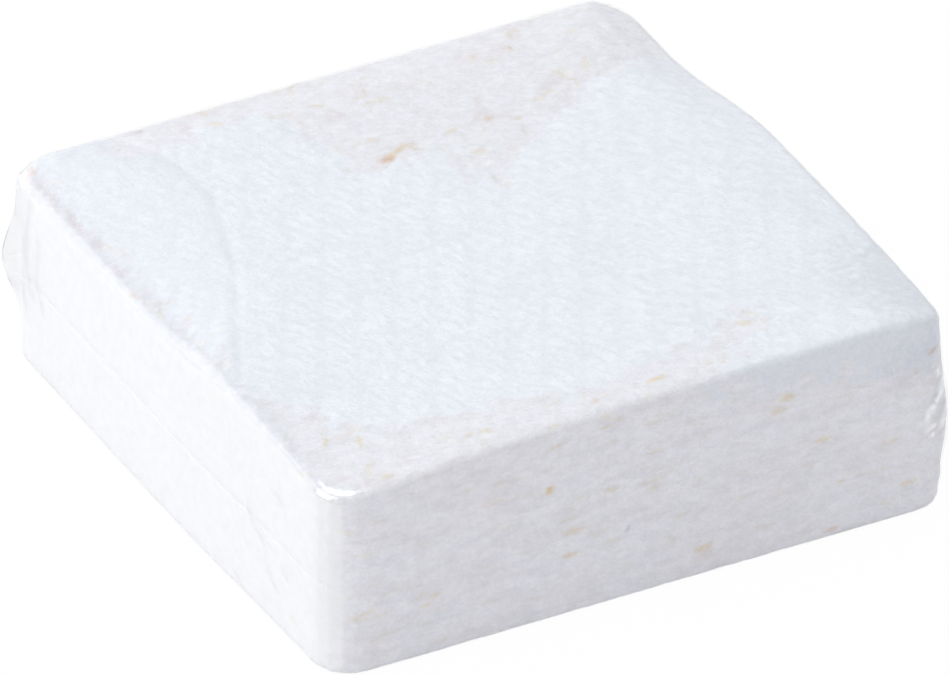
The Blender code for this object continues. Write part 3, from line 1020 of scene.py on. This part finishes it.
@dataclass
class ChalkCake:
    """The pressed cake, with its print, its cut strips, its layers, its flecks and its patches of
    painted shade.
    """

    spacing: float = 0.62
    fine_facing: float = 0.3
    stand_out: float = 0.3
    lobe_print: float = 0.6
    print_blend: float = 2.5
    ridge_strip: float = 2.2
    corner_bulge: float = 0.8
    stitch_relief: float = 0.018
    fray_size: float = 1.1
    fray_reach: float = 1.2
    cut_step: float = 0.06
    fibre_relief: float = 0.07
    fibre_size: float = 1.3
    loop_size: float = 0.9
    loop_depth: float = 1.6
    strata_relief: float = 0.05
    strata_size: Point3 = (6.5, 6.5, 0.75)
    strata_sink: float = 0.3
    ridge_wear: float = 0.08
    chip_size: float = 1.6
    grain_relief: float = 0.025
    grain_size: float = 0.7
    clear_depth: float = 4.0
    farthest: float = 6.0
    # Painted light: how far the left end's stains, speckle, flakes and layers are calmed, standing
    # in for the key lamp's wash.
    key_wash: float = 0.85
    ragged_size: Point3 = (0.6, 0.6, 0.35)
    stray_flecks: int = 90
    seed: int = 11

    def build(self, knit: KnitPrint) -> Piece:
        """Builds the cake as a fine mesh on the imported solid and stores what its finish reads."""
        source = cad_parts["chalk_block"]
        cake = even_copy(source, "pressed_chalk_cake", self.spacing)
        refine(cake, (Face.TOP, Face.FRONT), self.fine_facing)
        cling(cake, source)
        skin = Skin.of(cake)
        place_points(cake, PressedTop().surface(skin, self.stand_out))
        skin = Skin.of(cake)
        bulge = self.corner_bulge * RIGHT_FRONT_EAR.moves(skin)
        skin.points[:, :2] += bulge[:, None] * RIGHT_FRONT_EAR.outward()
        place_points(cake, skin.points)
        skin = Skin.of(cake)
        cut = self.cut_distance(skin)
        side = np.clip(1.0 - skin.facing(Face.TOP) - skin.facing(Face.UNDER), 0.0, 1.0)
        printed = self.print_patch(skin) * skin.facing(Face.TOP, 0.7, 0.93)
        # Painted light: the left end faces the key lamp, and its wash is painted in there by a less
        # blue colour and by calmer stains, speckle, flakes and layer relief.
        unwashed_by_key = 1.0 - self.key_wash * skin.facing(Face.LEFT)
        relief = self.relief(skin, cut, side * unwashed_by_key)
        on_skin = printed * smooth_step(-cut, 0.0, 1.0)
        relief += self.stitch_relief * on_skin * knit.stitches(skin.points, self.seed)
        place_points(cake, skin.points + skin.normals * relief[:, None])
        stored = {"cut": cut, "side": side, "printed": printed, "unwashed_by_key": unwashed_by_key}
        for name, values in stored.items():
            add_values(cake, name, values)
        # The colour stored here holds the flecks and the grey patches of painted shade.
        add_colours(cake, "tinted_patch", self.patch_colours(skin, cut))
        cake.data.shade_smooth()
        return cake

    def cut_distance(self, skin: Skin) -> Array:
        """How far inside a cut area each point is; below 0 on the pressed skin."""
        plan = skin.points[:, :2]
        left_edge = skin.points[:, 0].min() + self.ridge_strip
        on_top = np.maximum(depth_inside(plan, BACK_CUT), depth_inside(plan, FRONT_CUT))
        on_top = np.maximum(on_top, left_edge - skin.points[:, 0])
        on_front = -depth_inside(skin.points[:, (0, 2)], FRONT_SKIN)
        top = skin.facing(Face.TOP)
        front = skin.facing(Face.FRONT)
        under = skin.facing(Face.UNDER)
        elsewhere = np.clip(1.0 - top - front - under, 0.0, 1.0)
        depth = top * on_top + front * on_front + self.clear_depth * (elsewhere - under)
        return np.clip(depth, -self.farthest, self.farthest)

    def print_patch(self, skin: Skin) -> Array:
        """1 where the knit print is plain to see; the left lobe of the top has finer grain."""
        x, y, _ = skin.points.T
        across, along = zip(*LOBE_BORDER)
        border = np.interp(y, along, across)
        beyond = smooth_step(x - border, 0.0, self.print_blend)
        return self.lobe_print + (1.0 - self.lobe_print) * beyond

    def relief(self, skin: Skin, cut: Array, side: Array) -> Array:
        """How far each point moves out along its direction.

        Args:
            skin: The cake's smooth skin.
            cut: Distance inside the cut areas.
            side: How far the layers of the upright sides stand out.

        Returns:
            A move in millimetres, mostly inward.
        """
        points = skin.points
        fray = noise(points, self.fray_size, self.seed, 3)
        open_share = smooth_step(cut + self.fray_reach * fray, -0.5, 0.5)
        open_top = open_share * skin.facing(Face.TOP)
        fibres = noise(points, self.fibre_size, self.seed + 20, 3)
        loops = np.abs(noise(points, self.loop_size, self.seed + 30, 2))
        fibre_relief = self.fibre_relief * (fibres - self.loop_depth * loops) * open_top
        layers = noise(points, self.strata_size, self.seed + 40, 3)
        strata_relief = self.strata_relief * (layers - self.strata_sink) * side
        ridge = 1.0 - smooth_step(np.abs(skin.normals).max(axis=1), 0.75, 0.98)
        chips = smooth_step(noise(points, self.chip_size, self.seed + 50, 3), -0.2, 0.5)
        wear = self.ridge_wear * ridge * chips
        grain = self.grain_relief * noise(points, self.grain_size, self.seed + 70, 2)
        return fibre_relief + strata_relief - wear + grain - self.cut_step * open_top

    def patch_colours(self, skin: Skin, cut: Array) -> Array:
        """The share of red, green and blue that the flecks and the grey patches of painted shade
        leave at each point.
        """
        ragged = noise(skin.points, self.ragged_size, self.seed + 80, 2)
        colours = np.ones((len(skin.points), 3))
        for tinted_patch in (*FLECKS_AND_SHADE, *self.scattered(skin, cut)):
            share = tinted_patch.share(skin, ragged)[:, None]
            colours *= 1.0 - share * (1.0 - np.array(tinted_patch.tint.value))
        return colours

    def scattered(self, skin: Skin, cut: Array) -> list[ColourPatch]:
        """Small faint flecks in the cut areas of the top and in the upright sides."""
        chance = np.random.default_rng(self.seed)
        faces = (Face.TOP, Face.TOP, Face.FRONT, Face.FRONT, Face.BACK, Face.RIGHT)
        tints = (Tint.OCHRE, Tint.OCHRE, Tint.PINK, Tint.YELLOW)
        made = []
        for _ in range(self.stray_flecks):
            face = faces[chance.integers(len(faces))]
            inside = np.flatnonzero((skin.facing(face) > 0.9) & (cut > 0.4))
            place = face.flat(skin.points)[chance.choice(inside)]
            length = chance.uniform(0.8, 2.2)
            width = length * chance.uniform(0.25, 0.45)
            tint = tints[chance.integers(len(tints))]
            turn = chance.uniform(-90.0, 90.0) if face is Face.TOP else chance.uniform(-6.0, 6.0)
            strength = chance.uniform(0.25, 0.6)
            made.append(ColourPatch(face, tuple(place), length, width, tint, strength, turn))
        return made

    def dress(self, cake: Piece, knit: KnitPrint, finish: ChalkFinish) -> None:
        """Gives the cake its finish and its place in the frame."""
        cake.data.materials.append(finish.material(knit))
        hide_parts("chalk_block")
        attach(cake, "root")
        LOG.info("%s: %d faces", cake.name, len(cake.data.polygons))


# ---- The shrink film and its welds ----


@dataclass(frozen=True)
class Crease:
    """A sharp fold that stands up from the film.

    Args:
        face: The side it lies in.
        line: Its points in that side.
        width: Half its width.
        height: How far it stands up.
        shine: How plainly it catches the light.
    """

    face: Face
    line: tuple[Point2, ...]
    width: float = 0.35
    height: float = 0.16
    shine: float = 0.8

    def rise(self, skin: Skin) -> Array:
        """How far the crease lifts each point."""
        gap = line_distance(self.face.flat(skin.points), self.line)
        return self.height * np.exp(-((gap / self.width) ** 2)) * skin.facing(self.face, 0.2, 0.6)


CREASES = (
    Crease(Face.LEFT, ((-17.3, 11.4), (-18.7, 10.0), (-20.9, 8.9))),
    Crease(Face.LEFT, ((-22.6, 16.4), (-24.3, 15.9))),
    Crease(Face.LEFT, ((-21.4, 6.1), (-23.4, 5.0))),
    Crease(Face.LEFT, ((-24.2, 8.2), (-25.6, 7.4))),
    Crease(Face.LEFT, ((-14.2, 2.2), (-15.6, 1.5)), 0.3, 0.1),
    Crease(Face.TOP, ((-33.4, -31.4), (-32.4, -33.2), (-31.3, -33.9)), 0.9, 0.06, 2.2),
    Crease(Face.LEFT, ((29.5, 20.0), (30.3, 14.0), (29.0, 9.0)), 0.4, 0.2),
    Crease(Face.LEFT, ((27.6, 16.5), (28.2, 11.5), (26.5, 8.5)), 0.4, 0.15),
    Crease(Face.LEFT, ((31.5, 17.5), (31.8, 12.0), (30.4, 7.0)), 0.35, 0.15),
    Crease(
        Face.FRONT,
        ((33.1, 17.2), (33.8, 15.8), (33.5, 14.0), (32.4, 12.9), (31.9, 11.2)),
        width=0.25,
        height=0.2,
        shine=2.4,
    ),
    Crease(Face.FRONT, ((32.6, 10.9), (31.9, 10.2), (32.6, 9.6)), 0.25, 0.15, 2.2),
    Crease(Face.FRONT, ((34.0, 12.4), (33.4, 10.6), (34.0, 9.2)), 0.25, 0.15, 1.8),
    Crease(Face.RIGHT, ((-31.0, 18.0), (-30.0, 11.0), (-31.4, 4.0)), 0.4, 0.18),
    Crease(Face.RIGHT, ((30.5, 17.0), (29.6, 11.5), (30.6, 6.0)), 0.4, 0.2),
    Crease(Face.RIGHT, ((27.5, 13.0), (25.0, 11.2), (22.0, 11.8)), 0.35, 0.15),
    Crease(Face.BACK, ((31.0, 17.5), (30.0, 11.4), (31.2, 5.5)), 0.4, 0.2),
    Crease(Face.BACK, ((-31.0, 17.0), (-29.6, 11.4), (-31.0, 6.0)), 0.4, 0.2),
    Crease(Face.BACK, ((-27.0, 12.6), (-24.0, 11.3), (-20.0, 11.7)), 0.35, 0.15),
)


@dataclass(frozen=True)
class FilmFinish:
    """Clear shrink film: it sends back some light, more of it at a slant, and passes the rest.

    Args:
        name: The material's name.
        reflection: Colour of what it sends back.
        metallic: 1 keeps the reflection free of any body colour.
        straight_on: The share that it sends back when seen straight on.
        crease_share: What a fold adds to the share.
        most: The largest share outside the folds.
        roughness_low: How sharp its reflection is at the clearest.
        roughness_high: The same where it is dulled.
        grain_per_metre: How fine the dulled places are.
        bump_depth: How deep its waves are.
    """

    name: str = "clear_film"
    reflection: Colour = (0.95, 0.965, 0.985)
    metallic: float = 1.0
    straight_on: float = 0.04
    crease_share: float = 0.3
    most: float = 0.16
    roughness_low: float = 0.07
    roughness_high: float = 0.24
    grain_per_metre: float = 1500.0
    bump_depth: float = 0.02

    def material(self) -> bpy.types.Material:
        """The film's material."""
        made, graph, shader = new_material(self.name)
        vector = graph.node("ShaderNodeTexCoord").outputs["Object"]
        powder = graph.held(bpy.data.node_groups["chalk_powder"], vector, self.grain_per_metre)
        graph.feed(shader.inputs["Base Color"], (*self.reflection, 1.0))
        graph.feed(shader.inputs["Metallic"], self.metallic)
        mottle = powder.outputs["Mottle"]
        rough = graph.between(mottle, 0.0, 1.0, self.roughness_low, self.roughness_high)
        graph.feed(shader.inputs["Roughness"], rough)
        slant = graph.node("ShaderNodeLayerWeight", 0.5)
        rising = graph.sum("POWER", slant.outputs["Facing"], 5.0)
        share = graph.sum("MULTIPLY_ADD", rising, 1.0 - self.straight_on, self.straight_on)
        share = graph.sum("MINIMUM", share, self.most)
        folded = graph.times(graph.stored("crease"), self.crease_share)
        graph.feed(shader.inputs["Alpha"], graph.sum("ADD", share, folded, clamp=True))
        graph.bump(shader, mottle, self.bump_depth)
        return made


FUSED_FILM = FilmFinish(
    "fused_film",
    reflection=(0.93, 0.94, 0.96),
    metallic=0.0,
    straight_on=0.02,
    crease_share=0.06,
    most=0.12,
)


@dataclass
class ShrinkFilm:
    """The folded web of film round the cake, with its ears and creases."""

    spacing: float = 0.55
    stand_off: float = 0.38
    weld_height: float = 11.0
    weld_rise: float = 0.03
    weld_half_width: float = 0.5
    pleat_pitch: float = 1.5
    pleat_depth: float = 0.14
    pleat_waver: float = 0.35
    pleat_waver_size: float = 4.0
    slack: float = 0.02
    slack_size: float = 7.0
    seed: int = 71

    def build(self) -> Piece:
        """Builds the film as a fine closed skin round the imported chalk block."""
        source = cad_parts["chalk_block"]
        film = even_copy(source, "shrink_film_skin", self.spacing)
        cling(film, source)
        skin = Skin.of(film)
        place_points(film, PressedTop().surface(skin, self.stand_off))
        skin = Skin.of(film)
        crease, shine = self.creases(skin)
        ears, fold = self.ears(skin)
        points = skin.points + skin.normals * crease[:, None] + ears
        points[:, 2] = np.maximum(points[:, 2], 0.0)
        place_points(film, points)
        add_values(film, "crease", shine + fold)
        film.data.shade_smooth()
        return film

    def creases(self, skin: Skin) -> tuple[Array, Array]:
        """How far the sharp folds, the weld's rib and the film's slack lift each point.

        Args:
            skin: The film's skin before its folds.

        Returns:
            The rise of each point, and how plainly the fold it lies in shines.
        """
        rise = np.zeros(len(skin.points))
        shine = np.zeros(len(skin.points))
        for crease in CREASES:
            lift = crease.rise(skin)
            rise = np.maximum(rise, lift)
            shine = np.maximum(shine, crease.shine * lift / crease.height)
        height = skin.points[:, 2] - self.weld_height
        rib = self.weld_rise * np.exp(-((height / self.weld_half_width) ** 2))
        rib *= 1.0 - skin.facing(Face.FRONT, 0.2, 0.6)
        slack = self.slack * noise(skin.points, self.slack_size, self.seed, 3)
        return np.maximum(rise, rib) + slack, shine

    def ears(self, skin: Skin) -> tuple[Array, Array]:
        """How the dog-ears move the film off the corners.

        Args:
            skin: The film's skin before its ears.

        Returns:
            The move of each point, and a share from 0 to 1 that says how folded the film is there.
        """
        moves = np.zeros_like(skin.points)
        folded = np.zeros(len(skin.points))
        for number, ear in enumerate(EARS):
            along = ear.distance(skin)
            near = np.clip(1.0 - along / EAR_SPREAD, 0.0, 1.0)
            reach = np.clip(ear.reach(skin.points[:, 2]), 0.0, 1.0)
            waver = noise(skin.points, self.pleat_waver_size, self.seed + number, 2)
            wave = along / self.pleat_pitch + self.pleat_waver * waver
            pleat = self.pleat_depth * np.sin(2.0 * math.pi * wave) * near * (1.0 - near) * 4.0
            moves[:, :2] += (ear.moves(skin) + pleat * reach)[:, None] * ear.outward()
            folded = np.maximum(folded, ear.veil * reach * near**3)
        return moves, folded

    def dress(self, film: Piece, finish: FilmFinish) -> None:
        """Gives the film its finish and its place in the frame."""
        film.data.materials.append(finish.material())
        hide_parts("shrink_film")
        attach(film, "root")
        LOG.info("%s: %d faces", film.name, len(film.data.polygons))


class Weld(Enum):
    """The three trim welds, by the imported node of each."""

    SIDE = "side_weld"
    LEFT_END = "left_end_weld"
    RIGHT_END = "right_end_weld"


@dataclass
class WeldBeads:
    """The fused beads where the two plies of film are cut and sealed."""

    rounding: int = 2
    flat_angle: float = math.radians(40.0)
    shine: float = 0.3
    unevenness: float = 0.05
    flow_length: float = 2.2
    flow_sink: float = 0.2
    seed: int = 131

    def build(self, weld: Weld) -> Piece:
        """Builds one bead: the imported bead, rounded and with the uneven flow of melted film.

        Args:
            weld: Which of the welds.

        Returns:
            The finished piece.
        """
        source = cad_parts[weld.value]
        bead = plain_copy(source, f"{weld.value}_bead")
        form = bmesh.new()
        form.from_mesh(bead.data)
        bmesh.ops.remove_doubles(form, verts=form.verts, dist=0.001 * MM)
        angles = dict.fromkeys(("angle_face_threshold", "angle_shape_threshold"), self.flat_angle)
        bmesh.ops.join_triangles(form, faces=form.faces, **angles)
        form.to_mesh(bead.data)
        form.free()
        rounded = bead.modifiers.new("rounded", "SUBSURF")
        rounded.levels = self.rounding
        rounded.render_levels = self.rounding
        finished(bead)
        skin = Skin.of(bead)
        flow = noise(skin.points, self.flow_length, self.seed, 3) - self.flow_sink
        place_points(bead, skin.points + skin.normals * (self.unevenness * flow)[:, None])
        add_values(bead, "crease", np.full(len(skin.points), self.shine))
        bead.data.shade_smooth()
        return bead

    def dress(self, bead: Piece, weld: Weld, material: bpy.types.Material) -> None:
        """Gives a bead its finish and its place in the frame."""
        bead.data.materials.append(material)
        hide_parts(weld.value)
        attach(bead, "root")
        LOG.info("%s: %d faces", bead.name, len(bead.data.polygons))


# ---- Floor, light and camera ----


@dataclass(frozen=True)
class Lamp:
    """A square soft lamp that looks at the block."""

    name: str
    place: Point3
    size: float
    power: float


@dataclass
class Studio:
    """The white floor, the plain soft light and the camera, in metres."""

    floor_size: float = 3.0
    floor_white: float = 0.94
    floor_glow: float = 0.97
    sky_strength: float = 0.807
    lens: float = 1150.0
    sensor: float = 36.0
    azimuth: float = -27.5747
    elevation: float = 33.4633
    distance: float = 3.020209
    shift_right: float = 0.00008942
    shift_up: float = -0.00892073
    nearest: float = 0.1
    farthest: float = 20.0

    lamps: tuple[Lamp, ...] = (
        Lamp("key_lamp", (-0.67, 0.03, 0.34), 0.5, 1.72),
        Lamp("back_lamp", (-0.35, 0.62, 0.30), 0.5, 1.0),
        Lamp("top_lamp", (-0.10, 0.15, 0.95), 0.7, 1.0),
    )

    def floor(self) -> Piece:
        """Builds the floor, a wide flat sheet at the height of the block's underside."""
        form = bmesh.new()
        bmesh.ops.create_grid(form, x_segments=24, y_segments=24, size=self.floor_size / 2)
        mesh = bpy.data.meshes.new("studio_floor")
        form.to_mesh(mesh)
        form.free()
        floor = linked("studio_floor", mesh)
        floor.data.materials.append(self.floor_material())
        return floor

    def seen(self, graph: Graph) -> Socket:
        """1 for what the camera, gloss or glass sees, 0 for light that falls on the block."""
        path = graph.node("ShaderNodeLightPath")
        seen = graph.sum("ADD", path.outputs["Is Camera Ray"], path.outputs["Is Glossy Ray"])
        return graph.sum("ADD", seen, path.outputs["Is Transmission Ray"], clamp=True)

    def floor_material(self) -> bpy.types.Material:
        """White paper that shows white to the camera and still takes a soft shadow."""
        made, graph, shader = new_material("white_paper")
        graph.feed(shader.inputs["Base Color"], (*(self.floor_white,) * 3, 1.0))
        graph.feed(shader.inputs["Roughness"], 1.0)
        graph.feed(shader.inputs["Specular IOR Level"], 0.0)
        glow = graph.node("ShaderNodeEmission")
        share = graph.times(self.seen(graph), self.floor_glow)
        mixed = graph.node("ShaderNodeMixShader", share, shader.outputs[0], glow.outputs[0])
        graph.feed(made.node_tree.nodes["Material Output"].inputs["Surface"], mixed.outputs[0])
        return made

    def sky(self) -> None:
        """Plain white surroundings, dimmer for the light that falls on the block."""
        world = bpy.data.worlds.new("white_studio")
        bpy.context.scene.world = world
        world.use_nodes = True
        graph = Graph(world.node_tree)
        background = world.node_tree.nodes["Background"]
        background.inputs["Color"].default_value = (1.0, 1.0, 1.0, 1.0)
        rest = 1.0 - self.sky_strength
        strength = graph.sum("MULTIPLY_ADD", self.seen(graph), rest, self.sky_strength)
        graph.feed(background.inputs["Strength"], strength)

    def aim(self, made: Piece, place: Vector, back: Vector) -> None:
        """Puts a lamp or camera in its place, with its back to a direction."""
        made.location = place
        made.rotation_mode = "QUATERNION"
        made.rotation_quaternion = (-back).to_track_quat("-Z", "Y")

    def light(self) -> None:
        """Hangs the lamps and points them at the block."""
        for lamp in self.lamps:
            data = bpy.data.lights.new(lamp.name, "AREA")
            data.shape = "SQUARE"
            data.size = lamp.size
            data.energy = lamp.power
            self.aim(linked(lamp.name, data), Vector(lamp.place), Vector(lamp.place))
            LOG.info("%s at %s", lamp.name, lamp.place)

    def camera(self) -> None:
        """Places the camera at the photograph's viewing angle."""
        data = bpy.data.cameras.new("view_camera")
        data.lens = self.lens
        data.sensor_width = self.sensor
        data.clip_start = self.nearest
        data.clip_end = self.farthest
        turn = math.radians(self.azimuth)
        tilt = math.radians(self.elevation)
        level = math.cos(tilt)
        back = Vector((math.sin(turn) * level, -math.cos(turn) * level, math.sin(tilt)))
        right = Vector((math.cos(turn), math.sin(turn), 0.0))
        up = back.cross(right)
        made = linked("view_camera", data)
        place = back * self.distance - right * self.shift_right - up * self.shift_up
        self.aim(made, place, back)
        bpy.context.scene.camera = made

    def build(self) -> None:
        """Builds the whole studio."""
        self.floor()
        self.sky()
        self.light()
        self.camera()
        bpy.context.scene.view_settings.view_transform = "Standard"


def main() -> None:
    """Builds the studio, the cake, the film and the welds."""
    logging.basicConfig(level=logging.INFO, format="%(name)s %(message)s")
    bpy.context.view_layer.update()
    Studio().build()
    knit = KnitPrint()
    cake = ChalkCake()
    cake.dress(cake.build(knit), knit, ChalkFinish())
    film = ShrinkFilm()
    film.dress(film.build(), FilmFinish())
    beads = WeldBeads()
    material = FUSED_FILM.material()
    for weld in Weld:
        beads.dress(beads.build(weld), weld, material)


if __name__ == "__main__":
    main()
